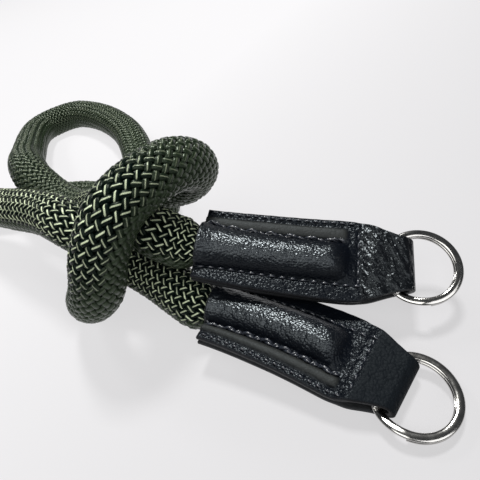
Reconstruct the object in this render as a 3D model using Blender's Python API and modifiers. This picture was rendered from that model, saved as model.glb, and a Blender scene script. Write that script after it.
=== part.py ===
"""Camera rope strap: a braided rope in a loose overhand knot, a folded leather tab sewn round each end,
and a steel split ring in the fold of each tab. Metres, +Z up, the rope lying on the plane z = 0."""
import math

import bmesh
import bpy
import numpy as np
from mathutils import Vector

# Driving sizes, in metres
ROPE_DIAMETER = 0.011
ROPE_IN_TAB = 0.0235
TAB_LENGTH = 0.041
TAB_HALF_WIDTH = 0.0084
LEATHER = 0.0012
LAYER_GAP = 0.0003
FIT_GAP = 0.00045
ROPE_FIT = 0.00042
FOOT_RADIUS = 0.001
RING_OUTER_DIAMETER = 0.015
RING_WIRE_WIDTH = 0.0015
RING_WIRE_HEIGHT = 0.00072
RING_COIL_GAP = 0.00012
RING_WIRE_EDGE = 0.0003

# How the meshes are divided
ROW_STEP = 0.003
FOLD_STEPS = 7
HUMP_STEPS = 8
RING_STEPS = 40
RING_TURN_LOST = 25.0
ROPE_TURN = 21.0
ROPE_REACH = 0.028
CURVE_STEP = 0.001

# A tab's form: share of its length, then shares of half width, of tunnel height and of pocket opening
TAB_FORM = (
    (0.00, 0.940, 1.00, 0.00),
    (0.30, 0.985, 1.00, 0.00),
    (0.62, 1.000, 1.00, 0.00),
    (0.65, 1.000, 0.80, 0.00),
    (0.68, 1.000, 0.35, 0.00),
    (0.72, 0.992, 0.00, 0.00),
    (0.76, 0.958, 0.00, 0.05),
    (0.79, 0.915, 0.00, 0.70),
    (0.81, 0.880, 0.00, 1.00),
    (0.86, 0.780, 0.00, 1.00),
    (0.91, 0.685, 0.00, 1.00),
    (0.96, 0.615, 0.00, 1.00),
    (1.00, 0.590, 0.00, 1.00),
)

# The rope where the tab grips it: share of the gripped length, share of the rope's diameter
GRIP = (
    (-0.14, 1.00),
    (0.00, 0.71),
    (0.12, 0.58),
    (0.30, 0.53),
    (0.60, 0.50),
    (1.00, 0.48),
)

# Each tab's place: share of the length, mouth x, y and z, heading, bend, height at the fold, sag share,
# roll at the mouth and at the fold
TAB_PLACE = {
    "tab_a": (1.010, -0.0200, 0.0185, 0.0170, -25.6, 4.0, 0.0090, 0.25, 12.6, 22.6),
    "tab_b": (0.952, -0.0218, 0.0094, 0.0064, -34.8, -16.5, 0.0028, -0.30, -6.4, 1.5),
}

# How far each tunnel lies sideways of its tab's middle
TUNNEL_SIDE = {
    "tab_a": -0.0006,
    "tab_b": 0.0006,
}

# Each ring's place: swing in its pocket, tip downwards, where round the ring its wire ends lie, and how far
# its middle lies past the tab's end
RING_PLACE = {
    "ring_a": (0.0, -12.0, 0.0012),
    "ring_b": (1.0, -14.0, 0.0012),
}

# The rope's route from tab_b to tab_a: x, y and z in metres, share of the diameter where it is pressed
ROUTE = (
    (-0.0330, 0.0225, 0.0095, 1.00),
    (-0.0407, 0.0280, 0.0146, 0.89),
    (-0.0475, 0.0340, 0.0205, 0.96),
    (-0.0540, 0.0420, 0.0205, 1.00),
    (-0.0625, 0.0500, 0.0190, 1.00),
    (-0.0815, 0.0670, 0.0135, 1.00),
    (-0.1030, 0.0735, 0.0070, 1.00),
    (-0.1515, 0.0665, 0.0055, 1.00),
    (-0.2495, 0.0635, 0.0055, 1.00),
    (-0.2730, 0.0855, 0.0055, 1.00),
    (-0.2495, 0.1100, 0.0055, 1.00),
    (-0.1705, 0.1045, 0.0055, 1.00),
    (-0.0560, 0.0695, 0.0055, 1.00),
    (-0.0485, 0.0645, 0.0060, 1.00),
    (-0.0340, 0.0505, 0.0160, 0.91),
    (-0.0280, 0.0445, 0.0165, 0.95),
    (-0.0200, 0.0385, 0.0195, 1.00),
    (-0.0165, 0.0330, 0.0260, 1.00),
    (-0.0210, 0.0255, 0.0325, 1.00),
    (-0.0310, 0.0180, 0.0325, 1.00),
    (-0.0375, 0.0150, 0.0260, 1.00),
    (-0.0415, 0.0145, 0.0185, 1.00),
    (-0.0453, 0.0172, 0.0133, 0.96),
    (-0.0485, 0.0235, 0.0080, 0.95),
    (-0.0480, 0.0320, 0.0050, 0.91),
    (-0.0375, 0.0425, 0.0050, 0.89),
    (-0.0300, 0.0520, 0.0050, 0.91),
    (-0.0340, 0.0725, 0.0055, 1.00),
    (-0.0395, 0.1035, 0.0055, 1.00),
    (-0.0520, 0.1270, 0.0055, 1.00),
    (-0.0635, 0.1365, 0.0055, 1.00),
    (-0.0760, 0.1325, 0.0060, 1.00),
    (-0.0725, 0.0935, 0.0130, 1.00),
    (-0.0665, 0.0750, 0.0175, 1.00),
    (-0.0640, 0.0690, 0.0170, 1.00),
    (-0.0570, 0.0595, 0.0135, 0.95),
    (-0.0490, 0.0500, 0.0135, 0.91),
    (-0.0345, 0.0365, 0.0211, 0.89),
    (-0.0295, 0.0235, 0.0217, 1.00),
)

ROPE_RADIUS = ROPE_DIAMETER / 2
CLOSED = (LEATHER + LAYER_GAP) / 2
RING_HEIGHT = 2 * RING_WIRE_HEIGHT + RING_COIL_GAP
OPEN = RING_HEIGHT / 2 + FIT_GAP + LEATHER / 2
RING_MEAN_RADIUS = (RING_OUTER_DIAMETER - RING_WIRE_WIDTH) / 2


def clear_scene():
    for item in list(bpy.data.objects):
        bpy.data.objects.remove(item, do_unlink=True)


def material(name, colour, metallic, roughness):
    made = bpy.data.materials.new(name)
    made.use_nodes = True
    shader = made.node_tree.nodes["Principled BSDF"]
    shader.inputs["Base Color"].default_value = (*colour, 1.0)
    shader.inputs["Metallic"].default_value = metallic
    shader.inputs["Roughness"].default_value = roughness
    return made


def column(table, number):
    return [row[number] for row in table]


def tab_length(name):
    return TAB_LENGTH * TAB_PLACE[name][0]


# A tab's line: place, direction, sideways and upwards at a distance from its mouth
def tab_frame(name, distance):
    x, y, z, heading, bend, z_fold, sag, roll_mouth, roll_fold = TAB_PLACE[name][1:]
    length = tab_length(name)
    share = distance / length
    start = math.radians(heading)
    turn = math.radians(bend)
    angle = start + turn * share
    place = Vector((
        x + length * (math.sin(angle) - math.sin(start)) / turn,
        y - length * (math.cos(angle) - math.cos(start)) / turn,
        z + (z_fold - z) * share * (1 + sag * (1 - share)),
    ))
    slope = (z_fold - z) / length * (1 + sag * (1 - 2 * share))
    along = Vector((math.cos(angle), math.sin(angle), slope)).normalized()
    level = Vector((-math.sin(angle), math.cos(angle), 0.0))
    up = along.cross(level)
    roll = math.radians(roll_mouth + (roll_fold - roll_mouth) * share)
    sideways = level * math.cos(roll) + up * math.sin(roll)
    return place, along, sideways, along.cross(sideways)


def grip_share(distance):
    return float(np.interp(distance / ROPE_IN_TAB, column(GRIP, 0), column(GRIP, 1)))


# The upper layer's middle line across the tab: pairs of sideways place and height
def tab_section(name, distance):
    share = distance / tab_length(name)
    along = column(TAB_FORM, 0)
    half_width = TAB_HALF_WIDTH * np.interp(share, along, column(TAB_FORM, 1))
    tunnel = np.interp(share, along, column(TAB_FORM, 2))
    opening = np.interp(share, along, column(TAB_FORM, 3))
    radius = ROPE_RADIUS * grip_share(distance) + ROPE_FIT + LEATHER / 2
    foot_height = CLOSED + FOOT_RADIUS
    foot_place = math.sqrt((radius + FOOT_RADIUS) ** 2 - foot_height ** 2)
    lean = math.asin(foot_height / (radius + FOOT_RADIUS))
    half = [(foot_place + (half_width - foot_place) * part, CLOSED, 1 - part) for part in (1.0, 0.5, 0.0)]
    for part in (1 / 3, 2 / 3):
        angle = math.radians(90) + part * (math.radians(90) - lean)
        half.append((foot_place + FOOT_RADIUS * math.cos(angle), foot_height - FOOT_RADIUS * math.sin(angle), 1.0))
    for step in range(HUMP_STEPS // 2):
        angle = lean + (math.pi / 2 - lean) * step / (HUMP_STEPS // 2)
        half.append((radius * math.cos(angle), radius * math.sin(angle), 1.0))
    humped = half + [(0.0, radius, 1.0)] + [(-v, h, moved) for v, h, moved in reversed(half)]
    level = CLOSED + (OPEN - CLOSED) * opening
    last = len(humped) - 1
    line = []
    for number, (v, h, moved) in enumerate(humped):
        v += TUNNEL_SIDE[name] * moved
        flat_v = half_width * (1 - 2 * number / last)
        line.append((flat_v + (v - flat_v) * tunnel ** 0.5, level + (h - CLOSED) * tunnel))
    return line


def tab_stations(name):
    length = tab_length(name)
    fold_start = 1 - (OPEN + LEATHER / 2) / length
    marks = [share for share in column(TAB_FORM, 0) if share < fold_start - 0.01] + [fold_start]
    stations = []
    for start, end in zip(marks, marks[1:]):
        pieces = max(1, math.ceil((end - start) * length / ROW_STEP - 0.01))
        stations += [start + (end - start) * k / pieces for k in range(pieces)]
    return [share * length for share in stations + [fold_start]]


# The strip runs along the lower layer, round the fold and back along the upper one
def tab_sheet(name):
    stations = tab_stations(name)
    rows = []
    for distance in stations:
        place, along, sideways, up = tab_frame(name, distance)
        rows.append([place + sideways * v - up * h for v, h in tab_section(name, distance)])
    fold = stations[-1]
    for step in range(1, FOLD_STEPS):
        angle = math.radians(-90 + 180 * step / FOLD_STEPS)
        distance = fold + OPEN * math.cos(angle)
        place, along, sideways, up = tab_frame(name, distance)
        rows.append([place + sideways * v + up * (OPEN * math.sin(angle)) for v, h in tab_section(name, distance)])
    for distance in reversed(stations):
        place, along, sideways, up = tab_frame(name, distance)
        rows.append([place + sideways * v + up * h for v, h in tab_section(name, distance)])
    return rows


def sheet_object(name, rows, collection, made):
    mesh = bpy.data.meshes.new(name)
    points = [point for row in rows for point in row]
    wide = len(rows[0])
    faces = []
    for r in range(len(rows) - 1):
        for c in range(wide - 1):
            a = r * wide + c
            faces.append((a, a + 1, a + wide + 1, a + wide))
    mesh.from_pydata(points, [], faces)
    mesh.materials.append(made)
    item = bpy.data.objects.new(name, mesh)
    collection.objects.link(item)
    return item


def make_tab(name, collection, made):
    item = sheet_object(name, tab_sheet(name), collection, made)
    walls = item.modifiers.new("leather", "SOLIDIFY")
    walls.thickness = LEATHER
    walls.offset = 0.0
    walls.use_even_offset = True
    walls.use_rim = True
    return item


# The ring's place: middle, outward, sideways and upwards
def ring_frame(name):
    tab = name.replace("ring", "tab")
    reach = RING_PLACE[name][2]
    place, along, sideways, up = tab_frame(tab, tab_length(tab) - RING_WIRE_WIDTH - OPEN - LEATHER)
    swing = math.radians(RING_PLACE[name][0])
    outward = along * math.cos(swing) - up * math.sin(swing)
    raised = up * math.cos(swing) + along * math.sin(swing)
    middle = place + outward * (RING_WIRE_WIDTH + OPEN + LEATHER + reach)
    return middle, outward, sideways, raised


# A split ring is one wire of two flat turns, with a short climb between them
def make_ring(name, collection, made):
    middle, outward, sideways, raised = ring_frame(name)
    lost = math.radians(RING_TURN_LOST)
    first = math.radians(RING_PLACE[name][1])
    low = -(RING_WIRE_HEIGHT + RING_COIL_GAP) / 2
    half_wide = RING_WIRE_WIDTH / 2
    half_high = RING_WIRE_HEIGHT / 2
    edge = RING_WIRE_EDGE
    outline = (
        (half_wide, -half_high + edge), (half_wide, half_high - edge),
        (half_wide - edge, half_high), (-half_wide + edge, half_high),
        (-half_wide, half_high - edge), (-half_wide, -half_high + edge),
        (-half_wide + edge, -half_high), (half_wide - edge, -half_high),
    )
    turns = 4 * math.pi - 2 * lost
    steps = 2 * RING_STEPS
    mesh = bmesh.new()
    loops = []
    for step in range(steps + 1):
        angle = lost + turns * step / steps
        climb = min(1.0, max(0.0, (angle - (2 * math.pi - lost)) / (2 * lost)))
        height = low - 2 * low * climb * climb * (3 - 2 * climb)
        spoke = outward * math.sin(first + angle) - sideways * math.cos(first + angle)
        centre = middle + spoke * RING_MEAN_RADIUS + raised * height
        loops.append([mesh.verts.new(centre + spoke * a + raised * b) for a, b in outline])
    count = len(outline)
    for first, second in zip(loops, loops[1:]):
        for k in range(count):
            mesh.faces.new((first[k], first[(k + 1) % count], second[(k + 1) % count], second[k]))
    mesh.faces.new(list(reversed(loops[0])))
    mesh.faces.new(loops[-1])
    bmesh.ops.recalc_face_normals(mesh, faces=mesh.faces)
    data = bpy.data.meshes.new(name)
    mesh.to_mesh(data)
    mesh.free()
    data.materials.append(made)
    item = bpy.data.objects.new(name, data)
    collection.objects.link(item)
    return item


# A centripetal Catmull-Rom curve through points with a fourth value, the share of the diameter
def smooth(points):
    given = np.array(points, float)
    given = np.vstack([2 * given[0] - given[1], given, 2 * given[-1] - given[-2]])
    line = []
    for i in range(1, len(given) - 2):
        p0, p1, p2, p3 = given[i - 1:i + 3]
        knots = [0.0]
        for a, b in ((p0, p1), (p1, p2), (p2, p3)):
            knots.append(knots[-1] + math.sqrt(np.linalg.norm(b[:3] - a[:3])))
        t0, t1, t2, t3 = knots
        count = max(2, int(np.linalg.norm(p2[:3] - p1[:3]) / CURVE_STEP))
        for t in np.linspace(t1, t2, count, endpoint=False):
            a1 = (t1 - t) / (t1 - t0) * p0 + (t - t0) / (t1 - t0) * p1
            a2 = (t2 - t) / (t2 - t1) * p1 + (t - t1) / (t2 - t1) * p2
            a3 = (t3 - t) / (t3 - t2) * p2 + (t - t2) / (t3 - t2) * p3
            b1 = (t2 - t) / (t2 - t0) * a1 + (t - t0) / (t2 - t0) * a2
            b2 = (t3 - t) / (t3 - t1) * a2 + (t - t1) / (t3 - t1) * a3
            line.append((t2 - t) / (t2 - t1) * b1 + (t - t1) / (t2 - t1) * b2)
    line.append(given[-2])
    return np.array(line)


# The rope inside a tab, from its end to just outside the mouth
def tab_rope(name):
    line = []
    for mark, share in reversed(GRIP):
        place, along, sideways, up = tab_frame(name, mark * ROPE_IN_TAB)
        line.append((*(place + sideways * TUNNEL_SIDE[name]), share))
    return line


# The whole rope, dense, then thinned to a point for every turn or reach
def rope_line():
    inside_b = tab_rope("tab_b")
    inside_a = tab_rope("tab_a")[::-1]
    free = smooth(inside_b[-2:] + list(ROUTE) + inside_a[:2])
    line = thin(free)
    return np.vstack([inside_b[:-2], line, inside_a[2:]])


def thin(line):
    share = np.clip(line[:, 3], 0.0, 1.0)
    line[:, 2] = np.maximum(line[:, 2], ROPE_RADIUS * share)
    line[:, 3] = share
    kept = [0]
    turned = 0.0
    for i in range(1, len(line) - 1):
        before = line[i, :3] - line[i - 1, :3]
        after = line[i + 1, :3] - line[i, :3]
        cosine = before @ after / np.linalg.norm(before) / np.linalg.norm(after)
        turned += math.degrees(math.acos(min(1.0, max(-1.0, cosine))))
        gone = np.linalg.norm(line[i, :3] - line[kept[-1], :3])
        if turned >= ROPE_TURN or gone >= ROPE_REACH:
            kept.append(i)
            turned = 0.0
    kept.append(len(line) - 1)
    return line[kept]


def make_rope(name, collection, made):
    line = rope_line()
    data = bpy.data.curves.new(name, "CURVE")
    data.dimensions = "3D"
    data.bevel_depth = ROPE_RADIUS
    data.bevel_resolution = 4
    data.use_fill_caps = True
    spline = data.splines.new("POLY")
    spline.points.add(len(line) - 1)
    for point, (x, y, z, share) in zip(spline.points, line):
        point.co = (x, y, z, 1.0)
        point.radius = share
    data.materials.append(made)
    item = bpy.data.objects.new(name, data)
    collection.objects.link(item)
    return item


def main():
    clear_scene()
    strap = bpy.data.collections.new("camera_rope_strap")
    bpy.context.scene.collection.children.link(strap)
    rope_green = material("rope_green", (0.055, 0.075, 0.038), 0.0, 0.75)
    leather_a = material("leather_a", (0.018, 0.019, 0.020), 0.0, 0.45)
    leather_b = material("leather_b", (0.016, 0.018, 0.020), 0.0, 0.50)
    steel_a = material("steel_a", (0.62, 0.61, 0.59), 1.0, 0.18)
    steel_b = material("steel_b", (0.60, 0.60, 0.59), 1.0, 0.20)
    make_rope("rope", strap, rope_green)
    make_tab("tab_a", strap, leather_a)
    make_tab("tab_b", strap, leather_b)
    make_ring("ring_a", strap, steel_a)
    make_ring("ring_b", strap, steel_b)


main()
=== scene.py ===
"""The looks of the camera rope strap: braided rope, sewn leather tabs and steel split rings.
Metres, +Z up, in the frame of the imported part. It reads nothing but the frame."""
import math

import bpy
import numpy as np
from mathutils import Matrix, Vector


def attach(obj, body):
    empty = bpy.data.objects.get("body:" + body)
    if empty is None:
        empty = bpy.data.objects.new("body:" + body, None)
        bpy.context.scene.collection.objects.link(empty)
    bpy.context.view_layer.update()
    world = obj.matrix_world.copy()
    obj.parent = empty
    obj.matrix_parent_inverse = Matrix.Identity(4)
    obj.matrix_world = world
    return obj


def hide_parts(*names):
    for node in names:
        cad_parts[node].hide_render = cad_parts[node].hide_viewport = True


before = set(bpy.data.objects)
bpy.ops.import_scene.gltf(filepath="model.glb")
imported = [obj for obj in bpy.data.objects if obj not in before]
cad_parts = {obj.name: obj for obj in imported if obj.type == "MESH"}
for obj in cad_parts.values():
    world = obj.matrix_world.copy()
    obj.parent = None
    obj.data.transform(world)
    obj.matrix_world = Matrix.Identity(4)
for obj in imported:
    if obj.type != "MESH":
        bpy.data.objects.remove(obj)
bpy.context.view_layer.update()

# The part's own sizes, repeated from its source, in metres
ROPE_DIAMETER = 0.011
ROPE_IN_TAB = 0.0235
TAB_LENGTH = 0.041
TAB_HALF_WIDTH = 0.0084
LEATHER = 0.0012
LAYER_GAP = 0.0003
FIT_GAP = 0.00045
ROPE_FIT = 0.00042
FOOT_RADIUS = 0.001
RING_OUTER_DIAMETER = 0.015
RING_WIRE_WIDTH = 0.0015
RING_WIRE_HEIGHT = 0.00072
RING_COIL_GAP = 0.00012
RING_TURN_LOST = 25.0

# Share of the tab's length, then shares of half width, of tunnel height and of pocket opening
TAB_FORM = (
    (0.00, 0.940, 1.00, 0.00),
    (0.30, 0.985, 1.00, 0.00),
    (0.62, 1.000, 1.00, 0.00),
    (0.65, 1.000, 0.80, 0.00),
    (0.68, 1.000, 0.35, 0.00),
    (0.72, 0.992, 0.00, 0.00),
    (0.76, 0.958, 0.00, 0.05),
    (0.79, 0.915, 0.00, 0.70),
    (0.81, 0.880, 0.00, 1.00),
    (0.86, 0.780, 0.00, 1.00),
    (0.91, 0.685, 0.00, 1.00),
    (0.96, 0.615, 0.00, 1.00),
    (1.00, 0.590, 0.00, 1.00),
)

# Share of the gripped length, share of the rope's diameter
GRIP = ((-0.14, 1.00), (0.00, 0.71), (0.12, 0.58), (0.30, 0.53), (0.60, 0.50), (1.00, 0.48))

# Length share, mouth x, y and z, heading, bend, height at the fold, sag share, roll at mouth and fold
TAB_PLACE = {
    "tab_a": (1.010, -0.0200, 0.0185, 0.0170, -25.6, 4.0, 0.0090, 0.25, 12.6, 22.6),
    "tab_b": (0.952, -0.0218, 0.0094, 0.0064, -34.8, -16.5, 0.0028, -0.30, -6.4, 1.5),
}

# How far each tunnel lies sideways of its tab's middle
TUNNEL_SIDE = {"tab_a": -0.0006, "tab_b": 0.0006}

# Swing of the ring in its pocket, where round the ring its wire ends lie, and its middle past the tab's end
RING_PLACE = {"ring_a": (0.0, -12.0, 0.0012), "ring_b": (1.0, -14.0, 0.0012)}

# The rope's route from tab_b to tab_a: x, y, z, share of the diameter
ROUTE = (
    (-0.0330, 0.0225, 0.0095, 1.00), (-0.0407, 0.0280, 0.0146, 0.89), (-0.0475, 0.0340, 0.0205, 0.96),
    (-0.0540, 0.0420, 0.0205, 1.00), (-0.0625, 0.0500, 0.0190, 1.00), (-0.0815, 0.0670, 0.0135, 1.00),
    (-0.1030, 0.0735, 0.0070, 1.00), (-0.1515, 0.0665, 0.0055, 1.00), (-0.2495, 0.0635, 0.0055, 1.00),
    (-0.2730, 0.0855, 0.0055, 1.00), (-0.2495, 0.1100, 0.0055, 1.00), (-0.1705, 0.1045, 0.0055, 1.00),
    (-0.0560, 0.0695, 0.0055, 1.00), (-0.0485, 0.0645, 0.0060, 1.00), (-0.0340, 0.0505, 0.0160, 0.91),
    (-0.0280, 0.0445, 0.0165, 0.95), (-0.0200, 0.0385, 0.0195, 1.00), (-0.0165, 0.0330, 0.0260, 1.00),
    (-0.0210, 0.0255, 0.0325, 1.00), (-0.0310, 0.0180, 0.0325, 1.00), (-0.0375, 0.0150, 0.0260, 1.00),
    (-0.0415, 0.0145, 0.0185, 1.00), (-0.0453, 0.0172, 0.0133, 0.96), (-0.0485, 0.0235, 0.0080, 0.95),
    (-0.0480, 0.0320, 0.0050, 0.91), (-0.0375, 0.0425, 0.0050, 0.89), (-0.0300, 0.0520, 0.0050, 0.91),
    (-0.0340, 0.0725, 0.0055, 1.00), (-0.0395, 0.1035, 0.0055, 1.00), (-0.0520, 0.1270, 0.0055, 1.00),
    (-0.0635, 0.1365, 0.0055, 1.00), (-0.0760, 0.1325, 0.0060, 1.00), (-0.0725, 0.0935, 0.0130, 1.00),
    (-0.0665, 0.0750, 0.0175, 1.00), (-0.0640, 0.0690, 0.0170, 1.00), (-0.0570, 0.0595, 0.0135, 0.95),
    (-0.0490, 0.0500, 0.0135, 0.91), (-0.0345, 0.0365, 0.0211, 0.89), (-0.0295, 0.0235, 0.0217, 1.00),
)

# Sizes that follow from those
ROPE_RADIUS = ROPE_DIAMETER / 2
CLOSED = (LEATHER + LAYER_GAP) / 2
RING_HEIGHT = 2 * RING_WIRE_HEIGHT + RING_COIL_GAP
OPEN = RING_HEIGHT / 2 + FIT_GAP + LEATHER / 2
RING_MEAN_RADIUS = (RING_OUTER_DIAMETER - RING_WIRE_WIDTH) / 2

# The camera: its axes, its place and its lens
CAMERA_RIGHT = (0.9483, -0.2184, -0.2302)
CAMERA_UP = (0.3173, 0.6528, 0.6879)
CAMERA_BACK = (0.0, -0.7254, 0.6884)
CAMERA_PLACE = (-0.012, -0.044, 0.0738)
SENSOR_WIDTH = 36.0
LENS = 30.6
NEAREST_SEEN = 0.001

# The step along the rope's centreline and how many steps soften it, then the core under its braid, painted
# near black as shade in the gaps between floats
LINE_STEP = 0.0005
LINE_SOFTENING = 4
CORE_SHARE = 0.80
CORE_SIDES = 16
CORE_STEP = 0.0012

# The braid: strands each way, length of one repeat, how far from the rope's ends it starts, and its pieces
STRANDS_EACH_WAY = 16
BRAID_REPEAT = 0.00205
BRAID_START = 0.018
BRAID_PIECES = 5

# A float is the stretch of a strand that shows: its half sizes, how far it stands proud, its lowest height,
# and how its ends and sides dive under the strands that cross it
FLOAT_HALF_LENGTH = 0.00102
FLOAT_HALF_WIDTH = 0.00068
FLOAT_PROUD = 0.00005
FLOAT_LOWEST = 0.00006
END_TAPER = 0.22
END_DROP = 0.00060
SIDE_DROP = 0.00050
SIDE_ROUND = 2.3
SIDE_FULL = 0.985

# Marks along a float and across it, each with how steeply the surface turns down there
ALONG_MARKS = ((-1.0, -1.8), (-0.84, -0.75), (-0.52, -0.20), (0.52, 0.20), (0.84, 0.75), (1.0, 1.8))
ACROSS_MARKS = ((-1.0, -2.2), (-0.76, -0.70), (0.0, 0.0), (0.76, 0.70), (1.0, 2.2))

# How much floats differ from one another: tilt, shares of length and width, and height
TILT_SPREAD = 0.045
LENGTH_SPREAD = 0.03
WIDTH_SPREAD = 0.04
LIFT_SPREAD = 0.00003

# How far the twist of the yarns leans across a float
TWIST_LEAN = 0.8

# Share of the rope's length, and how strong the painted sheen is there: the painted highlight streaks and the
# painted shade on the body under them
PAINTED_SHEEN = (
    (0.0, 1.0), (0.13, 1.0), (0.20, 0.7), (0.50, 0.6), (0.56, 0.30), (0.638, 0.20),
    (0.648, 0.8), (0.654, 1.0), (0.661, 0.9), (0.666, 0.35), (0.671, 0.0), (0.73, 0.0),
    (0.77, 0.25), (0.925, 0.32), (0.940, 1.0), (1.0, 1.0),
)

# The way that floats face to get painted sheen, as if lit from there, where facing it starts and stops to
# count, and the least random share of painted sheen
PAINTED_SHEEN_SIDE = (0.0, -0.30, 0.95)
PAINTED_SHEEN_FACING = (0.20, 0.54)
PAINTED_SHEEN_LEAST = 0.55

# A tab's section runs over these marks: its edge is 0, its middle 9, and the far edge 18
FLANGE_END = 2
FOOT_END = 5
MIDDLE_MARK = 9
LAST_MARK = 18

# The share of a tab's length over which its form is eased, and the rounding of its cut edges
FORM_EASE = 0.02
EDGE_ROUND = 0.00028

# On each tab, in mm: the side of the heavy row of stitches, and its place across
HEAVY = {"tab_a": (1, 3.4), "tab_b": (-1, 4.1)}

# In mm along the tab, where the heavy row, its smooth band and the long rows of small stitches end
ROW_END = 27.0
BAND_END = 29.5
CROSS_ROW = 31.0

# In mm across the tab: the light row's place and the width of the strip outside the smooth band
LIGHT_ROW = -5.2
EDGE_STRIP = 1.7

# Each kind of stitch: radius, height of its arch, turns of twist, radius of that twist, and steps along it
STITCHES = {
    "heavy_long": (0.29, 0.92, 0.75, 0.27, 14),
    "heavy_short": (0.23, 0.72, 0.60, 0.20, 8),
    "light": (0.25, 0.62, 0.0, 0.0, 8),
    "edge": (0.20, 0.52, 0.0, 0.0, 7),
    "cross": (0.24, 0.60, 0.0, 0.0, 8),
}

# How deep stitches are sunk, in mm, the sides of their strands, and the share of the radius left at the ends
STITCH_SINK = 0.22
STITCH_SIDES = 8
STITCH_ENDS = 0.35

# The heavy row, in mm: where it starts, the step from one long stitch to the next, how long each is, where
# the short one after it starts, how far both slant across the row, and how far the row wanders
HEAVY_FIRST = 0.7
HEAVY_STEP = 3.95
HEAVY_LONG = 2.75
SHORT_START = 2.5
LONG_SLANT = 0.16
SHORT_FROM = 0.26
SHORT_TO = -0.24
HEAVY_WANDER = 0.10

# The rows of small stitches, in mm: where each starts, its step, how long its stitches are and their slant
SMALL_ROWS = {
    "light": (0.9, 1.95, 1.30, 0.10),
    "edge": (0.9, 1.75, 1.15, 0.04),
    "cross": (-4.9, 1.85, 1.20, 0.08),
}

# In mm, how far the long rows of small stitches stop before the row across, and that one before the edge
LONG_ROWS_STOP = 0.6
CROSS_ROW_STOP = 2.6

# The crease that each row presses into the leather, in mm: its depth and its reach to each side
CREASES = {"heavy": (0.45, 0.45), "edge": (0.30, 0.17), "light": (0.28, 0.24), "cross": (0.28, 0.26)}

# In mm: how far the smooth band and the leather's ripples stand proud, and between which heights the hump
# turns from plain to worn
BAND_RISE = 0.42
RIPPLE_RISE = 0.05
HUMP_HEIGHTS = (0.8, 3.2)

# How finely a tab is divided: marks over its flange, foot and hump, then rows on its lower layer, round its
# fold and on its upper layer
FLANGE_MARKS = 15
FOOT_MARKS = 7
HUMP_MARKS = 20
LOWER_ROWS = 60
FOLD_ROWS = 18
UPPER_ROWS = 130

# A ring's wire: sides, steps along both turns, and the power that squares its section
WIRE_SIDES = 20
WIRE_STEPS = 420
WIRE_POWER = 0.80

# Each lamp's place, the point that it faces, the side of its square, its watts and its colour
SOFT_WHITE = (1.0, 1.0, 0.97)
LAMPS = {
    "softbox": ((0.12, 0.31, 0.70), (-0.03, 0.03, 0.0), 0.13, 6.4, SOFT_WHITE),
    "window": ((-0.36, 0.50, 0.50), (-0.04, 0.04, 0.0), 0.14, 1.5, SOFT_WHITE),
    "front_lamp": ((-0.30, -0.30, 0.68), (-0.04, 0.04, 0.0), 0.50, 2.4, SOFT_WHITE),
    "fill_front": ((0.35, -0.70, 0.70), (-0.02, 0.02, 0.0), 0.70, 3.2, (1.0, 1.0, 1.0)),
}
SKY_COLOUR = (0.9, 0.95, 1.0, 1.0)
SKY_STRENGTH = 0.06
FLOOR_REACH = 1.6

MM = 0.001
random = np.random.default_rng(11)


# The camera stands where the photo was taken
def add_camera():
    data = bpy.data.cameras.new("camera")
    data.sensor_width = SENSOR_WIDTH
    data.lens = LENS
    data.clip_start = NEAREST_SEEN
    item = bpy.data.objects.new("camera", data)
    bpy.context.scene.collection.objects.link(item)
    place = Matrix.Identity(4)
    for number, values in enumerate((CAMERA_RIGHT, CAMERA_UP, CAMERA_BACK, CAMERA_PLACE)):
        for row, value in enumerate(values):
            place[row][number] = value
    item.matrix_world = place
    bpy.context.scene.camera = item


add_camera()


# The tab's line and the rope's grip, as the part's source has them
def column(table, number):
    return [row[number] for row in table]


def tab_length(name):
    return TAB_LENGTH * TAB_PLACE[name][0]


def tab_frame(name, distance):
    """A tab's place, direction, sideways and upwards at a distance from its mouth."""
    x, y, z, heading, bend, z_fold, sag, roll_mouth, roll_fold = TAB_PLACE[name][1:]
    length = tab_length(name)
    share = distance / length
    start = math.radians(heading)
    turn = math.radians(bend)
    angle = start + turn * share
    place = Vector((
        x + length * (math.sin(angle) - math.sin(start)) / turn,
        y - length * (math.cos(angle) - math.cos(start)) / turn,
        z + (z_fold - z) * share * (1 + sag * (1 - share)),
    ))
    slope = (z_fold - z) / length * (1 + sag * (1 - 2 * share))
    along = Vector((math.cos(angle), math.sin(angle), slope)).normalized()
    level = Vector((-math.sin(angle), math.cos(angle), 0.0))
    up = along.cross(level)
    roll = math.radians(roll_mouth + (roll_fold - roll_mouth) * share)
    sideways = level * math.cos(roll) + up * math.sin(roll)
    return place, along, sideways, along.cross(sideways)


def grip_share(distance):
    return float(np.interp(distance / ROPE_IN_TAB, column(GRIP, 0), column(GRIP, 1)))


# Meshes
def smoothstep(value, low, high):
    t = np.clip((value - low) / (high - low), 0.0, 1.0)
    return t * t * (3 - 2 * t)


def add_object(name, mesh, made):
    mesh.materials.append(made)
    item = bpy.data.objects.new(name, mesh)
    bpy.context.scene.collection.objects.link(item)
    return item


def add_quads(name, points, faces, made):
    """A smooth object from arrays of points and of faces with four corners."""
    mesh = bpy.data.meshes.new(name)
    points = np.asarray(points, np.float32).reshape(-1, 3)
    faces = np.asarray(faces, np.int32)
    mesh.vertices.add(len(points))
    mesh.vertices.foreach_set("co", points.ravel())
    mesh.loops.add(faces.size)
    mesh.loops.foreach_set("vertex_index", faces.ravel())
    mesh.polygons.add(len(faces))
    mesh.polygons.foreach_set("loop_start", np.arange(0, faces.size, faces.shape[1], dtype=np.int32))
    mesh.update(calc_edges=True)
    mesh.validate()
    mesh.polygons.foreach_set("use_smooth", np.ones(len(mesh.polygons), bool))
    return add_object(name, mesh, made)


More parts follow.
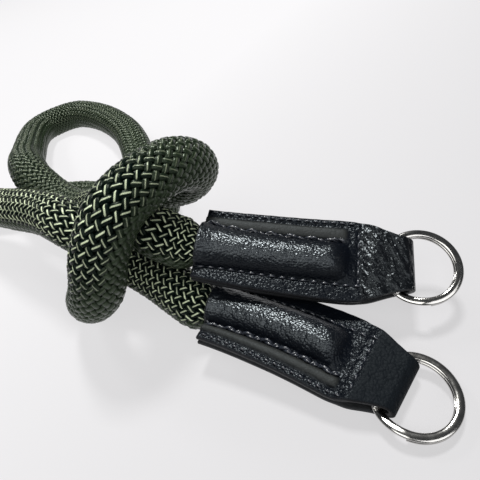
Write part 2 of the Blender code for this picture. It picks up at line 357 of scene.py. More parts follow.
def add_faces(name, points, faces, made, flat=0):
    """An object from points and faces with any number of corners, smooth but for its last flat faces."""
    mesh = bpy.data.meshes.new(name)
    mesh.from_pydata([tuple(point) for point in points], [], faces)
    smooth = np.ones(len(faces), bool)
    smooth[len(faces) - flat:] = False
    mesh.polygons.foreach_set("use_smooth", smooth)
    return add_object(name, mesh, made)


def add_attribute(item, name, values, kind="FLOAT"):
    made = item.data.attributes.new(name, kind, "POINT")
    field = "vector" if kind == "FLOAT_VECTOR" else "value"
    made.data.foreach_set(field, np.asarray(values, np.float32).ravel())


def grid_faces(rows, columns, closed=False):
    """Faces between rows of points. A closed grid also joins each row's last point to its first."""
    last = columns if closed else columns - 1
    r = np.arange(rows - 1)[:, None]
    c = np.arange(last)[None, :]
    a = r * columns + c
    b = r * columns + (c + 1) % columns
    return np.stack([a, b, b + columns, a + columns], -1).reshape(-1, 4)


def spokes(side, up, count):
    """Directions all round a line, from its sideways and upwards directions."""
    angle = np.arange(count) * 2 * math.pi / count
    return np.cos(angle)[None, :, None] * side[:, None] + np.sin(angle)[None, :, None] * up[:, None]


def carried_sides(along, first):
    """The sideways directions of a line that turn with it and never about it."""
    side = np.zeros_like(along)
    now = first
    for number, ahead in enumerate(along):
        now = now - (now @ ahead) * ahead
        now = now / np.linalg.norm(now)
        side[number] = now
    return side


class Look:
    """A material and its nodes. Each call that makes a node hands back what comes out of it."""

    def __init__(self, name):
        self.material = bpy.data.materials.new(name)
        self.material.use_nodes = True
        self.nodes = self.material.node_tree.nodes
        self.links = self.material.node_tree.links
        self.shader = self.nodes["Principled BSDF"]
        self.place = self.node("ShaderNodeTexCoord").outputs["Object"]

    def node(self, kind, **settings):
        made = self.nodes.new(kind)
        for key, value in settings.items():
            setattr(made, key, value)
        return made

    def feed(self, socket, value):
        if isinstance(value, bpy.types.NodeSocket):
            self.links.new(value, socket)
        elif socket.type == "RGBA":
            socket.default_value = (*value, 1.0)
        else:
            socket.default_value = value

    def surface(self, name, value):
        self.feed(self.shader.inputs[name], value)

    def attribute(self, name, output="Fac"):
        return self.node("ShaderNodeAttribute", attribute_name=name).outputs[output]

    def parts(self, vector):
        made = self.node("ShaderNodeSeparateXYZ")
        self.feed(made.inputs[0], vector)
        return made.outputs[0], made.outputs[1], made.outputs[2]

    def vectors(self, operation, *values):
        made = self.node("ShaderNodeVectorMath", operation=operation)
        for socket, value in zip(made.inputs, values):
            self.feed(socket, value)
        return made.outputs[0]

    def maths(self, operation, *values, clamp=False):
        made = self.node("ShaderNodeMath", operation=operation, use_clamp=clamp)
        for socket, value in zip(made.inputs, values):
            self.feed(socket, value)
        return made.outputs[0]

    def times(self, first, *others):
        for other in others:
            first = self.maths("MULTIPLY", first, other)
        return first

    def minus(self, first, second, clamp=False):
        return self.maths("SUBTRACT", first, second, clamp=clamp)

    def absolute(self, value):
        return self.maths("ABSOLUTE", value)

    def ramp(self, value, low, high, to_low=0.0, to_high=1.0):
        made = self.node("ShaderNodeMapRange", clamp=True)
        names = ("Value", "From Min", "From Max", "To Min", "To Max")
        for name, number in zip(names, (value, low, high, to_low, to_high)):
            self.feed(made.inputs[name], number)
        return made.outputs["Result"]

    def mixed(self, factor, first, second):
        """A colour between first and second."""
        made = self.node("ShaderNodeMix", data_type="RGBA")
        self.feed(made.inputs["Factor"], factor)
        colours = [socket for socket in made.inputs if socket.type == "RGBA"]
        for socket, value in zip(colours, (first, second)):
            self.feed(socket, value)
        return [socket for socket in made.outputs if socket.type == "RGBA"][0]

    def noise(self, scale, detail=2.0, roughness=0.5, place=None, output="Fac"):
        made = self.node("ShaderNodeTexNoise")
        for name, number in (("Scale", scale), ("Detail", detail), ("Roughness", roughness)):
            made.inputs[name].default_value = number
        self.feed(made.inputs["Vector"], self.place if place is None else place)
        return made.outputs[output]

    def pebbles(self, scale, place):
        """The distance to the nearest of many scattered points."""
        made = self.node("ShaderNodeTexVoronoi", feature="F1")
        made.inputs["Scale"].default_value = scale
        self.feed(made.inputs["Vector"], place)
        return made.outputs["Distance"]

    def bump(self, height, distance, strength=1.0, before=None):
        made = self.node("ShaderNodeBump")
        made.inputs["Strength"].default_value = strength
        made.inputs["Distance"].default_value = distance
        self.feed(made.inputs["Height"], height)
        if before is not None:
            self.feed(made.inputs["Normal"], before)
        return made.outputs["Normal"]


# The yarns are dark green, painted with light and shade: a soft painted highlight on each float's crest, a
# pale painted highlight streak beside it where the painted sheen falls, the body painted near black there,
# and painted shade at each float's rim
def yarn_material():
    look = Look("braid_yarn")
    run, across, tone = look.parts(look.attribute("weave", "Vector"))
    painted_sheen = look.attribute("painted_sheen")
    twisted = look.maths("SINE", look.times(run, 24.0))
    fibres = look.noise(9000.0, 2.0, 0.6)
    sideways = look.absolute(across)
    # a soft painted highlight along each float's crest
    crest_highlight = look.times(look.ramp(sideways, 0.10, 0.70, 1.0, 0.0), look.ramp(twisted, -1.0, 0.6, 0.45, 1.0))
    # painted shade: the body is painted near black where the painted sheen is strong
    painted_body_shade = look.ramp(painted_sheen, 0.0, 0.55)
    # painted shade along each float's rim, where it dives under its neighbours
    painted_rim_shade = look.ramp(sideways, 0.86, 1.0)
    # a painted highlight streak beside each float's crest, wider where the painted sheen is stronger
    off_painted_streak = look.minus(look.absolute(look.minus(across, 0.12)), look.times(painted_sheen, 0.15))
    painted_streak = look.times(
        look.ramp(off_painted_streak, 0.02, 0.15, 1.0, 0.0),
        look.ramp(look.absolute(run), 0.72, 0.92, 1.0, 0.0),
        look.ramp(twisted, -1.0, 0.4, 0.45, 1.0),
        look.ramp(fibres, 0.34, 0.52, 0.45, 1.0),
        painted_sheen,
    )
    # the tone varies at random between floats; then the painted crest highlight, the painted shade of the
    # shining body, the painted highlight streak and the painted rim shade
    colour = look.mixed(tone, (0.0080, 0.0148, 0.0066), (0.0126, 0.0215, 0.0098))
    colour = look.mixed(crest_highlight, colour, (0.0192, 0.0305, 0.0145))
    colour = look.mixed(painted_body_shade, colour, (0.0012, 0.0042, 0.0038))
    colour = look.mixed(painted_streak, colour, (0.90, 1.0, 0.69))
    colour = look.mixed(painted_rim_shade, colour, (0.001, 0.002, 0.001))
    look.surface("Base Color", colour)
    level = look.maths("ADD", look.minus(0.40, look.times(painted_body_shade, 0.30)), look.times(painted_streak, 0.4))
    look.surface("Specular IOR Level", look.minus(level, look.times(painted_rim_shade, 0.3), clamp=True))
    look.surface("Roughness", look.ramp(fibres, 0.3, 0.7, 0.24, 0.33))
    look.surface("IOR", 1.5)
    look.surface("Specular Tint", (0.86, 1.0, 0.78))
    relief = look.bump(twisted, 0.000006, 0.7)
    look.surface("Normal", look.bump(fibres, 0.000005, 0.5, relief))
    return look.material


def core_material():
    look = Look("braid_core")
    # near black: painted shade for the gaps between the floats
    look.surface("Base Color", look.mixed(look.noise(2500.0), (0.004, 0.005, 0.004), (0.010, 0.013, 0.008)))
    look.surface("Roughness", 0.95)
    look.surface("Specular IOR Level", 0.1)
    return look.material


# Black pebbled leather, smooth on its bands and cut edges, and with a tip of its own gloss and creases
def leather_material(name, tip_gloss, tip_level, tip_colour, tip_creases):
    look = Look(name)
    band = look.attribute("band")
    cut = look.attribute("cut")
    tip = look.attribute("tip")
    smooth = look.maths("MAXIMUM", band, cut)
    fine = look.noise(6500.0, 3.0, 0.65)
    wrinkle = look.noise(420.0, 3.0, 0.55)

    fibres = look.noise(2600.0, 4.0, 0.7)
    colour = look.mixed(wrinkle, (0.0014, 0.0021, 0.0040), (0.0032, 0.0043, 0.0070))
    colour = look.mixed(tip, colour, tip_colour)
    colour = look.mixed(band, colour, look.mixed(fibres, (0.0110, 0.0118, 0.0118), (0.0270, 0.0282, 0.0272)))
    look.surface("Base Color", look.mixed(cut, colour, (0.016, 0.016, 0.018)))

    shine = look.maths("ADD", look.ramp(fine, 0.3, 0.7, 0.24, 0.38), look.times(smooth, 0.22))
    look.surface("Roughness", look.maths("ADD", shine, look.times(tip, tip_gloss), clamp=True))
    worn = look.ramp(look.attribute("hump"), 0.0, 1.0, 0.16, 0.60)
    worn = look.times(worn, look.minus(1.0, tip, clamp=True))
    look.surface("Specular IOR Level", look.maths("MULTIPLY_ADD", tip, tip_level, worn))
    look.surface("Specular Tint", (0.85, 0.94, 1.0))

    warp = look.noise(900.0, output="Color")
    warped = look.vectors("MULTIPLY_ADD", warp, (0.0006, 0.0006, 0.0006), look.place)
    distance = look.pebbles(1900.0, warped)
    domes = look.minus(1.0, look.times(distance, distance), clamp=True)
    grained = look.minus(1.0, look.times(smooth, 0.65), clamp=True)
    grained = look.minus(grained, look.times(tip, 0.45 * tip_creases), clamp=True)
    stretched = look.vectors("MULTIPLY", look.place, (1.0, 0.30, 1.0))
    creases = look.times(look.noise(600.0, place=stretched), look.times(tip, tip_creases))
    relief = look.bump(look.times(domes, grained), 0.00011)
    relief = look.bump(wrinkle, 0.00020, 0.6, relief)
    relief = look.bump(creases, 0.00075, 1.0, relief)
    look.surface("Normal", look.bump(fine, 0.00001, 0.7, relief))
    return look.material


def thread_material():
    look = Look("thread_black")
    look.surface("Base Color", look.mixed(look.noise(4000.0), (0.005, 0.006, 0.009), (0.031, 0.037, 0.052)))
    look.surface("Roughness", 0.30)
    look.surface("Specular IOR Level", 1.0)
    return look.material


def steel_material(name, roughness):
    look = Look(name)
    cloud = look.noise(900.0, 3.0, 0.6)
    look.surface("Base Color", look.mixed(cloud, (0.42, 0.41, 0.40), (0.58, 0.57, 0.55)))
    look.surface("Metallic", 1.0)
    look.surface("Roughness", look.ramp(cloud, 0.3, 0.7, roughness * 0.8, roughness * 1.25))
    look.surface("Normal", look.bump(look.noise(5000.0), 0.000004, 0.35))
    return look.material


# A matt grey floor that glows as painted light, paler towards the back left and duller towards the front
# right, which keeps it pale and its shadows weak
def floor_material():
    look = Look("floor_with_painted_glow")
    look.surface("Base Color", look.mixed(look.noise(3.0, 1.0), (0.125, 0.123, 0.130), (0.132, 0.130, 0.136)))
    look.surface("Roughness", 0.9)
    look.surface("Specular IOR Level", 0.1)
    # painted light: the glow, stronger towards the back left, stands in for the lamps' light on the floor
    x, y, z = look.parts(look.place)
    slope = look.maths("MULTIPLY_ADD", x, -1.10, look.times(y, 1.22))
    look.surface("Emission Color", (1.0, 0.99, 1.0))
    look.surface("Emission Strength", look.ramp(slope, -0.08, 0.18, 0.53, 0.73))
    return look.material


# The rope: a core painted near black as shade in the gaps, under floats of yarn
def smooth_line(points, step):
    """A centripetal Catmull-Rom curve through points with a fourth value."""
    given = np.array(points, float)
    given = np.vstack([2 * given[0] - given[1], given, 2 * given[-1] - given[-2]])
    line = []
    for i in range(1, len(given) - 2):
        p0, p1, p2, p3 = given[i - 1:i + 3]
        knots = [0.0]
        for a, b in ((p0, p1), (p1, p2), (p2, p3)):
            knots.append(knots[-1] + math.sqrt(np.linalg.norm(b[:3] - a[:3])))
        t0, t1, t2, t3 = knots
        count = max(2, int(np.linalg.norm(p2[:3] - p1[:3]) / step))
        for t in np.linspace(t1, t2, count, endpoint=False):
            a1 = (t1 - t) / (t1 - t0) * p0 + (t - t0) / (t1 - t0) * p1
            a2 = (t2 - t) / (t2 - t1) * p1 + (t - t1) / (t2 - t1) * p2
            a3 = (t3 - t) / (t3 - t2) * p2 + (t - t2) / (t3 - t2) * p3
            b1 = (t2 - t) / (t2 - t0) * a1 + (t - t0) / (t2 - t0) * a2
            b2 = (t3 - t) / (t3 - t1) * a2 + (t - t1) / (t3 - t1) * a3
            line.append((t2 - t) / (t2 - t1) * b1 + (t - t1) / (t2 - t1) * b2)
    line.append(given[-2])
    return np.array(line)


def tab_rope(name):
    """The rope's points inside a tab, from its end out to the mouth."""
    line = []
    for mark, share in reversed(GRIP):
        place, along, sideways, up = tab_frame(name, mark * ROPE_IN_TAB)
        line.append((*(place + sideways * TUNNEL_SIDE[name]), share))
    return line


class Line:
    """The rope's centreline and its sideways and upwards directions, read at any distance along it."""

    def __init__(self, step):
        raw = smooth_line(tab_rope("tab_b") + list(ROUTE) + tab_rope("tab_a")[::-1], step)
        share = np.clip(raw[:, 3], 0.0, 1.0)
        raw[:, 2] = np.maximum(raw[:, 2], ROPE_RADIUS * share)
        run = np.r_[0.0, np.cumsum(np.linalg.norm(np.diff(raw[:, :3], axis=0), axis=1))]
        self.length = run[-1]
        self.run = np.linspace(0.0, self.length, int(self.length / step) + 1)
        self.place = np.stack([np.interp(self.run, run, raw[:, k]) for k in range(3)], 1)
        self.soften(LINE_SOFTENING)
        self.share = np.interp(self.run, run, share)
        along = np.gradient(self.place, axis=0)
        along /= np.linalg.norm(along, axis=1)[:, None]
        self.side = carried_sides(along, np.cross(along[0], (0.0, 0.0, 1.0)))
        self.up = np.cross(along, self.side)

    def soften(self, reach):
        """Each place becomes the mean of those within reach steps of it."""
        weights = np.ones(2 * reach + 1) / (2 * reach + 1)
        for k in range(3):
            self.place[reach:-reach, k] = np.convolve(self.place[:, k], weights, "valid")

    def at(self, run):
        """Place, sideways, upwards and share of the diameter at distances along the rope."""
        out = []
        for table in (self.place, self.side, self.up):
            out.append(np.stack([np.interp(run, self.run, table[:, k]) for k in range(3)], -1))
        return out[0], out[1], out[2], np.interp(run, self.run, self.share)


def add_core(line, made):
    run = np.linspace(0.0, line.length, int(line.length / CORE_STEP))
    place, side, up, share = line.at(run)
    reach = (ROPE_RADIUS * CORE_SHARE * share)[:, None, None]
    points = (place[:, None] + spokes(side, up, CORE_SIDES) * reach).reshape(-1, 3)
    faces = [tuple(face) for face in grid_faces(len(run), CORE_SIDES, True)]
    first, last = len(points), len(points) + 1
    base = (len(run) - 1) * CORE_SIDES
    for c in range(CORE_SIDES):
        after = (c + 1) % CORE_SIDES
        faces.append((first, after, c))
        faces.append((last, base + c, base + after))
    return add_faces("rope_core", np.vstack([points, place[:1], place[-1:]]), faces, made)


def float_middles(way, start, end):
    """The middles of one way's floats between two distances: their places round the rope and along it."""
    pitch = 2 * math.pi * ROPE_RADIUS / STRANDS_EACH_WAY
    shift = 0.0 if way == 1 else 0.5
    rows = np.arange(int(start / BRAID_REPEAT) - 1, int(end / BRAID_REPEAT) + 2)
    strand, row = np.meshgrid(np.arange(STRANDS_EACH_WAY), rows, indexing="ij")
    x = ((strand + shift) * pitch).ravel()
    s = ((row + shift) * BRAID_REPEAT).ravel()
    chosen = (s >= start) & (s < end)
    return x[chosen], s[chosen]


def float_painted_sheen(line, x, s):
    """How strong each float's painted sheen is, from its place along the rope and the way that it faces."""
    place, side, up, share = line.at(s)
    turn = (x / ROPE_RADIUS)[:, None]
    facing = (np.cos(turn) * side + np.sin(turn) * up) @ np.array(PAINTED_SHEEN_SIDE)
    painted_sheen = np.interp(s / line.length, column(PAINTED_SHEEN, 0), column(PAINTED_SHEEN, 1))
    return painted_sheen * smoothstep(facing, *PAINTED_SHEEN_FACING) * random.uniform(PAINTED_SHEEN_LEAST, 1.0, len(x))


def braid_floats(line, way, start, end):
    """One way's floats: their points, surface directions, places in the weave, and painted sheen."""
    x0, s0 = float_middles(way, start, end)
    count = len(x0)
    slant = math.atan2(2 * math.pi * ROPE_RADIUS / STRANDS_EACH_WAY, BRAID_REPEAT)
    tilt = slant + random.normal(0.0, TILT_SPREAD, count)
    long = FLOAT_HALF_LENGTH * (1 + random.normal(0.0, LENGTH_SPREAD, count))
    wide = FLOAT_HALF_WIDTH * (1 + random.normal(0.0, WIDTH_SPREAD, count))
    lift = random.normal(0.0, LIFT_SPREAD, count)
    tone = random.uniform(0.0, 1.0, count)

    u, v = np.meshgrid(column(ALONG_MARKS, 0), column(ACROSS_MARKS, 0), indexing="ij")
    taper = 1.0 - END_TAPER * np.abs(u) ** 4
    sides = 1.0 - (1.0 - SIDE_FULL * np.abs(v) ** SIDE_ROUND) ** (1 / SIDE_ROUND)
    drop = END_DROP * np.abs(u) ** 6 + SIDE_DROP * sides
    uu = u[None] * long[:, None, None]
    vv = v[None] * taper[None] * wide[:, None, None]
    sine, cosine = np.sin(tilt)[:, None, None], np.cos(tilt)[:, None, None]
    x = x0[:, None, None] + way * uu * sine + vv * cosine
    s = s0[:, None, None] + uu * cosine - way * vv * sine

    place, side, up, share = line.at(s)
    angle = (x / ROPE_RADIUS)[..., None]
    outward = np.cos(angle) * side + np.sin(angle) * up
    around = np.cos(angle) * up - np.sin(angle) * side
    ahead = np.cross(side, up)
    reach = (ROPE_RADIUS + FLOAT_PROUD + lift[:, None, None] - drop[None]) * share
    points = place + outward * reach[..., None]
    points[..., 2] = np.maximum(points[..., 2], FLOAT_LOWEST)

    along_yarn = way * sine[..., None] * around + cosine[..., None] * ahead
    across_yarn = cosine[..., None] * around - way * sine[..., None] * ahead
    u_slopes = np.array(column(ALONG_MARKS, 1))[None, :, None, None]
    v_slopes = np.array(column(ACROSS_MARKS, 1))[None, None, :, None]
    normals = outward + u_slopes * along_yarn + v_slopes * across_yarn
    normals = normals / np.linalg.norm(normals, axis=-1)[..., None]

    run = (uu + way * TWIST_LEAN * vv) / MM
    weave = np.stack([run, v[None] + 0 * uu, tone[:, None, None] + 0 * uu], -1)
    painted_sheen = np.repeat(float_painted_sheen(line, x0, s0), u.size)
    return points.reshape(-1, 3), normals.reshape(-1, 3), weave.reshape(-1, 3), painted_sheen


def add_braid(line, made, name, start, end):
    """The floats of both ways of winding whose middles lie between two distances."""
    ways = [braid_floats(line, way, start, end) for way in (1, -1)]
    points, normals, weave, painted_sheen = (np.concatenate(part) for part in zip(*ways))
    size = len(ALONG_MARKS) * len(ACROSS_MARKS)
    starts = np.arange(0, len(points), size)[:, None, None]
    faces = starts + grid_faces(len(ALONG_MARKS), len(ACROSS_MARKS))[None]
    item = add_quads(name, points, faces.reshape(-1, 4), made)
    add_attribute(item, "weave", weave, "FLOAT_VECTOR")
    # painted sheen: where the yarn material paints highlight streaks and darkens the body as painted shade
    add_attribute(item, "painted_sheen", painted_sheen)
    item.data.normals_split_custom_set_from_vertices(normals.tolist())
    return item


rope_line = Line(LINE_STEP)
core = add_core(rope_line, core_material())
yarn = yarn_material()
cuts = [rope_line.length * number / BRAID_PIECES for number in range(BRAID_PIECES + 1)]
cuts[0] = BRAID_START
cuts[-1] = rope_line.length - BRAID_START
braids = []
for number in range(BRAID_PIECES):
    braids.append(add_braid(rope_line, yarn, "rope_braid_%d" % (number + 1), cuts[number], cuts[number + 1]))
for piece in [core] + braids:
    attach(piece, "root")
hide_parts("rope")


# The tabs: leather with its relief, and the stitches
def soft_form(share, number):
    """A column of TAB_FORM with its corners eased."""
    near = np.clip(share + np.linspace(-FORM_EASE, FORM_EASE, 9), 0.0, 1.0)
    return float(np.mean(np.interp(near, column(TAB_FORM, 0), column(TAB_FORM, number))))


def tab_curve(name, distance, marks):
    """The upper layer's middle line at marks across it: sideways places, heights and the tab's half width."""
    share = distance / tab_length(name)
    half_width = TAB_HALF_WIDTH * soft_form(share, 1)
    tunnel = soft_form(share, 2)
    opening = soft_form(share, 3)
    radius = ROPE_RADIUS * grip_share(distance) + ROPE_FIT + LEATHER / 2
    foot_height = CLOSED + FOOT_RADIUS
    foot_place = math.sqrt((radius + FOOT_RADIUS) ** 2 - foot_height ** 2)
    lean = math.asin(foot_height / (radius + FOOT_RADIUS))
    half = np.minimum(marks, LAST_MARK - marks)
    sign = np.where(marks <= MIDDLE_MARK, 1.0, -1.0)
    turn = math.pi / 2 + (half - FLANGE_END) / (FOOT_END - FLANGE_END) * (math.pi / 2 - lean)
    rise = lean + (math.pi / 2 - lean) * (half - FOOT_END) / (MIDDLE_MARK - FOOT_END)
    flange_v = foot_place + (half_width - foot_place) * (1 - half / FLANGE_END)
    foot_v = foot_place + FOOT_RADIUS * np.cos(turn)
    foot_h = foot_height - FOOT_RADIUS * np.sin(turn)
    tunnel_v = np.where(half <= FOOT_END, foot_v, radius * np.cos(rise))
    tunnel_h = np.where(half <= FOOT_END, foot_h, radius * np.sin(rise))
    v = sign * np.where(half <= FLANGE_END, flange_v, tunnel_v)
    v = v + TUNNEL_SIDE[name] * np.clip(half / FLANGE_END, 0.0, 1.0)
    h = np.where(half <= FLANGE_END, CLOSED, tunnel_h)
    level = CLOSED + (OPEN - CLOSED) * opening
    flat_v = half_width * (1 - 2 * marks / LAST_MARK)
    return flat_v + (v - flat_v) * math.sqrt(max(tunnel, 0.0)), level + (h - CLOSED) * tunnel, half_width


def groove(distance, depth, width):
    return -depth * np.exp(-(distance / width) ** 2)


def relief(name, u, v, half_width):
    """How far the grain side stands proud at u along and v across, in mm, and its share of smooth band."""
    side, row = HEAVY[name]
    y = v * side
    edge = half_width - EDGE_STRIP
    in_row = smoothstep(ROW_END + 0.6 - u, 0.0, 1.2)
    in_band = smoothstep(BAND_END - u, 0.0, 1.5)
    in_light_row = smoothstep(CROSS_ROW - u, 0.0, 1.0)
    in_cross_row = ((y > LIGHT_ROW - 0.1) & (y < edge)).astype(float)
    part = np.clip((y - row - 0.3) / (edge - row - 0.3), 0.0, 1.0)
    band = np.sin(np.pi * part) ** 0.5 * in_band
    ripple = np.sin(u * 2.1 + 1.3 * np.sin(y * 1.7)) * np.sin(y * 1.9 + u * 0.6)
    out = BAND_RISE * band + RIPPLE_RISE * ripple * (1 - np.minimum(band, 1.0))
    out = out + groove(y - row, *CREASES["heavy"]) * in_row
    out = out + groove(y - edge - 0.05, *CREASES["edge"]) * in_band
    out = out + groove(y - LIGHT_ROW, *CREASES["light"]) * in_light_row
    out = out + groove(u - CROSS_ROW, *CREASES["cross"]) * in_cross_row
    return out, np.clip(band * 1.6 - 0.3, 0.0, 1.0)


def tab_marks():
    """Marks across a tab, close together on the flanges and on the hump."""
    half = np.r_[
        np.linspace(0, FLANGE_END, FLANGE_MARKS)[:-1],
        np.linspace(FLANGE_END, FOOT_END, FOOT_MARKS)[:-1],
        np.linspace(FOOT_END, MIDDLE_MARK, HUMP_MARKS),
    ]
    return np.r_[half, LAST_MARK - half[::-1][1:]]


def tab_rows(name):
    """Rows along the strip: lower layer from mouth to fold, round the fold, upper layer back to the mouth."""
    fold = tab_length(name) - OPEN - LEATHER / 2
    lower = [(distance, -90.0) for distance in np.linspace(0.0, fold, LOWER_ROWS)]
    round_fold = [(fold, angle) for angle in np.linspace(-90, 90, FOLD_ROWS)[1:-1]]
    upper = [(distance, 90.0) for distance in np.linspace(fold, 0.0, UPPER_ROWS)]
    return lower + round_fold + upper


def tab_row(name, distance, angle, marks):
    """One row's points, then in mm its places along and across, its tab's half width and its heights."""
    turn = math.radians(angle)
    on_layer = abs(angle) == 90
    reach = distance if on_layer else distance + OPEN * math.cos(turn)
    place, along, sideways, up = (np.array(way) for way in tab_frame(name, reach))
    v, h, half_width = tab_curve(name, reach, marks)
    height = h * np.sign(angle) if on_layer else np.full(len(v), OPEN * math.sin(turn))
    points = place + sideways * v[:, None] + up * height[:, None]
    along_mm = np.full(len(v), reach / MM)
    width_mm = np.full(len(v), half_width / MM)
    return points, along_mm, v / MM, width_mm, (height - CLOSED) / MM


def from_border(middle):
    """The distance of each point of a sheet from its nearest border."""
    nearest = []
    for axis in (0, 1):
        steps = np.linalg.norm(np.diff(middle, axis=axis), axis=2)
        start = np.zeros_like(steps[:1] if axis == 0 else steps[:, :1])
        run = np.concatenate([start, np.cumsum(steps, axis=axis)], axis=axis)
        whole = run[-1:] if axis == 0 else run[:, -1:]
        nearest.append(np.minimum(run, whole - run))
    return np.minimum(nearest[0], nearest[1])


def wall_faces(rows, columns):
    """Faces of a sheet with two sides: its skin, its lining and the four rims between them."""
    count = rows * columns
    skin = grid_faces(rows, columns)
    lining = skin[:, ::-1] + count
    r = np.arange(rows - 1) * columns
    c = np.arange(columns - 1)
    right = r + columns - 1
    last = (rows - 1) * columns
    rims = []
    for a, b in ((r, r + columns), (right + columns, right), (c + 1, c), (last + c, last + c + 1)):
        rims.append(np.stack([a, b, b + count, a + count], 1))
    return np.concatenate([skin, lining] + rims)


def add_tab(name, made):
    marks = tab_marks()
    rows = tab_rows(name)
    parts = zip(*(tab_row(name, distance, angle, marks) for distance, angle in rows))
    middle, u, v, widths, heights = (np.array(part) for part in parts)
    upper = np.array([max(0.0, angle / 90.0) for distance, angle in rows])[:, None]

    normal = np.cross(np.gradient(middle, axis=0), np.gradient(middle, axis=1))
    normal /= np.linalg.norm(normal, axis=2)[..., None]
    mouth_up = np.array(tab_frame(name, 0.0)[3])
    inside_out = normal[-1, len(marks) // 2] @ mouth_up < 0
    if inside_out:
        normal = -normal

    near = np.clip(from_border(middle) / EDGE_ROUND, 0.0, 1.0)
    half_wall = LEATHER / 2 - EDGE_ROUND * (1 - np.sqrt(1 - (1 - near) ** 2))
    proud, band = relief(name, u, v, widths)
    outer = middle + normal * (half_wall + proud * upper * MM)[..., None]
    inner = middle - normal * half_wall[..., None]
    faces = wall_faces(len(rows), len(marks))
    if inside_out:
        faces = faces[:, ::-1]
    item = add_quads(name + "_leather", np.concatenate([outer, inner]), faces, made)

    # each attribute's values on the grain side, and its one value on the lining
    attributes = {
        "band": (band * upper, 0.8),
        "cut": (np.clip(1 - near * 1.6, 0.0, 1.0), 0.6),
        "tip": (smoothstep(u, CROSS_ROW, CROSS_ROW + 1.0), 0.0),
        "hump": (smoothstep(heights, *HUMP_HEIGHTS) * upper, 0.0),
    }
    for key, (grain, lining) in attributes.items():
        add_attribute(item, key, np.concatenate([grain.ravel(), np.full(grain.size, lining)]))
    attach(item, "root")
    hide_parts(name)


def top_point(name, u_mm, y_mm, raise_mm):
    """The grain side at u along and y across (towards the heavy row), raised, in metres."""
    distance = u_mm * MM
    want = y_mm * HEAVY[name][0] * MM
    place, along, sideways, up = (np.array(way) for way in tab_frame(name, distance))
    v, h, half_width = tab_curve(name, distance, np.linspace(0, LAST_MARK, 10 * LAST_MARK + 1))
    order = np.argsort(v)
    rows = (h, np.gradient(v), np.gradient(h))
    height, v_slope, h_slope = (np.interp(want, v[order], row[order]) for row in rows)
    normal = (sideways * h_slope - up * v_slope) / math.hypot(v_slope, h_slope)
    proud = float(relief(name, u_mm, want / MM, half_width / MM)[0])
    return place + sideways * want + up * height + normal * (LEATHER / 2 + (proud + raise_mm) * MM)


def tube(path, radii):
    """Points and faces of a tube along a path."""
    path = np.asarray(path, float)
    along = np.gradient(path, axis=0)
    along /= np.linalg.norm(along, axis=1)[:, None]
    side = carried_sides(along, np.cross(along[0], (0.3, 0.2, 0.93)))
    reach = np.asarray(radii)[:, None, None]
    points = path[:, None] + spokes(side, np.cross(along, side), STITCH_SIDES) * reach
    return points.reshape(-1, 3), grid_faces(len(path), STITCH_SIDES, True)


def strand(name, kind, start, end, phase=0.0):
    """One strand of a stitch, between two places on a tab given in mm along and across."""
    radius, arch, twists, twist_radius, steps = STITCHES[kind]
    long, wide = end[0] - start[0], end[1] - start[1]
    length = math.hypot(long, wide)
    path, radii = [], []
    for t in np.linspace(0.0, 1.0, steps):
        spin = phase + twists * 2 * math.pi * t
        off = twist_radius * math.cos(spin) / length
        u = start[0] + long * t - wide * off
        y = start[1] + wide * t + long * off
        height = arch * abs(math.sin(math.pi * t)) ** 0.6 + twist_radius * math.sin(spin) - STITCH_SINK
        path.append(top_point(name, u, y, height))
        swell = math.sin(math.pi * min(max(t, 0.03), 0.97)) ** 0.35
        radii.append(radius * MM * (STITCH_ENDS + (1 - STITCH_ENDS) * swell))
    return tube(path, radii)


def heavy_row(name):
    """The heavy row: long stitches of two twisted strands, each with a short one between it and the next."""
    strands = []
    for u in np.arange(HEAVY_FIRST, ROW_END - 1.0, HEAVY_STEP):
        y = HEAVY[name][1] + HEAVY_WANDER * math.sin(u * 1.9)
        start, end = (u, y - LONG_SLANT), (u + HEAVY_LONG, y + LONG_SLANT)
        for phase in (0.0, math.pi):
            strands.append(strand(name, "heavy_long", start, end, phase))
        start, end = (u + SHORT_START, y + SHORT_FROM), (u + HEAVY_STEP, y + SHORT_TO)
        for phase in (0.8, math.pi + 0.8):
            strands.append(strand(name, "heavy_short", start, end, phase))
    return strands


def light_rows(name):
    """The rows of small stitches: the light one, the one by the edge, and the one across the tab."""
    strands = []
    half_width = TAB_HALF_WIDTH / MM
    first, step, long, slant = SMALL_ROWS["light"]
    for u in np.arange(first, CROSS_ROW - LONG_ROWS_STOP, step):
        strands.append(strand(name, "light", (u, LIGHT_ROW - slant), (u + long, LIGHT_ROW + slant)))
    first, step, long, slant = SMALL_ROWS["edge"]
    for u in np.arange(first, CROSS_ROW - LONG_ROWS_STOP, step):
        share = np.interp(u * MM / tab_length(name), column(TAB_FORM, 0), column(TAB_FORM, 1))
        edge = share * half_width - EDGE_STRIP / 2
        strands.append(strand(name, "edge", (u, edge), (u + long, edge + slant)))
    first, step, long, slant = SMALL_ROWS["cross"]
    for y in np.arange(first, half_width - CROSS_ROW_STOP, step):
        strands.append(strand(name, "cross", (CROSS_ROW - slant, y), (CROSS_ROW + slant, y + long)))
    return strands


def add_threads(name, made):
    """Every stitch that shows on a tab, as one piece."""
    points, faces, start = [], [], 0
    for strand_points, strand_faces in heavy_row(name) + light_rows(name):
        points.append(strand_points)
        faces.append(strand_faces + start)
        start += len(strand_points)
    item = add_quads(name + "_stitches", np.concatenate(points), np.concatenate(faces), made)
    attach(item, "root")


leathers = {
    "tab_a": leather_material("leather_far", -0.04, 0.30, (0.0030, 0.0036, 0.0048), 1.0),
    "tab_b": leather_material("leather_near", 0.26, 0.08, (0.0040, 0.0054, 0.0074), 0.1),
}
thread = thread_material()
for tab in ("tab_a", "tab_b"):
    add_tab(tab, leathers[tab])
    add_threads(tab, thread)


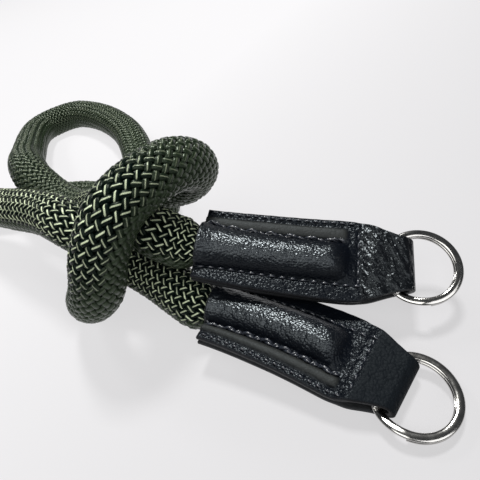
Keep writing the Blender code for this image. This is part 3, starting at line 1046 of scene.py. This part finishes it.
# The split rings
def ring_frame(name):
    """A ring's middle, outward, sideways and upwards."""
    tab = name.replace("ring", "tab")
    reach = RING_PLACE[name][2]
    place, along, sideways, up = tab_frame(tab, tab_length(tab) - RING_WIRE_WIDTH - OPEN - LEATHER)
    swing = math.radians(RING_PLACE[name][0])
    outward = along * math.cos(swing) - up * math.sin(swing)
    raised = up * math.cos(swing) + along * math.sin(swing)
    middle = place + outward * (RING_WIRE_WIDTH + OPEN + LEATHER + reach)
    return middle, outward, sideways, raised


def squared(values):
    """Sines or cosines of a circle, pushed out towards a square."""
    return np.sign(values) * np.abs(values) ** WIRE_POWER


def add_ring(name, made):
    """One wire of two flat turns, with a short climb between them."""
    middle, outward, sideways, raised = (np.array(way) for way in ring_frame(name))
    lost = math.radians(RING_TURN_LOST)
    first = math.radians(RING_PLACE[name][1])
    low = -(RING_WIRE_HEIGHT + RING_COIL_GAP) / 2
    turn = np.arange(WIRE_SIDES) * 2 * math.pi / WIRE_SIDES
    across = squared(np.cos(turn)) * RING_WIRE_WIDTH / 2
    over = squared(np.sin(turn)) * RING_WIRE_HEIGHT / 2
    angle = lost + (4 * math.pi - 2 * lost) * np.arange(WIRE_STEPS + 1) / WIRE_STEPS
    height = low - 2 * low * smoothstep(angle, 2 * math.pi - lost, 2 * math.pi + lost)
    spoke = outward * np.sin(first + angle)[:, None] - sideways * np.cos(first + angle)[:, None]
    centre = middle + spoke * RING_MEAN_RADIUS + raised * height[:, None]
    points = centre[:, None] + spoke[:, None] * across[None, :, None] + raised * over[None, :, None]
    faces = [tuple(face) for face in grid_faces(WIRE_STEPS + 1, WIRE_SIDES, True)]
    faces.append(tuple(range(WIRE_SIDES))[::-1])
    faces.append(tuple(WIRE_STEPS * WIRE_SIDES + k for k in range(WIRE_SIDES)))
    item = add_faces(name + "_wire", points.reshape(-1, 3), faces, made, flat=2)
    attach(item, "root")
    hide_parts(name)


add_ring("ring_a", steel_material("steel_far", 0.14))
add_ring("ring_b", steel_material("steel_near", 0.16))


# Floor and light
def add_floor():
    corners = [(-1, -1), (1, -1), (1, 1), (-1, 1)]
    points = [(x * FLOOR_REACH, y * FLOOR_REACH, 0.0) for x, y in corners]
    add_faces("floor", points, [(0, 1, 2, 3)], floor_material(), flat=1)


def add_light(name, place, target, side, power, colour):
    data = bpy.data.lights.new(name, "AREA")
    data.shape = "RECTANGLE"
    data.size, data.size_y = side, side
    data.energy = power
    data.color = colour
    item = bpy.data.objects.new(name, data)
    item.location = place
    item.rotation_euler = (Vector(target) - Vector(place)).to_track_quat("-Z", "Y").to_euler()
    bpy.context.scene.collection.objects.link(item)


def add_world():
    world = bpy.data.worlds.new("studio")
    world.use_nodes = True
    sky = world.node_tree.nodes["Background"]
    sky.inputs["Color"].default_value = SKY_COLOUR
    sky.inputs["Strength"].default_value = SKY_STRENGTH
    bpy.context.scene.world = world


add_floor()
for lamp, settings in LAMPS.items():
    add_light(lamp, *settings)
add_world()
bpy.context.scene.view_settings.view_transform = "Standard"

bpy.context.view_layer.update()
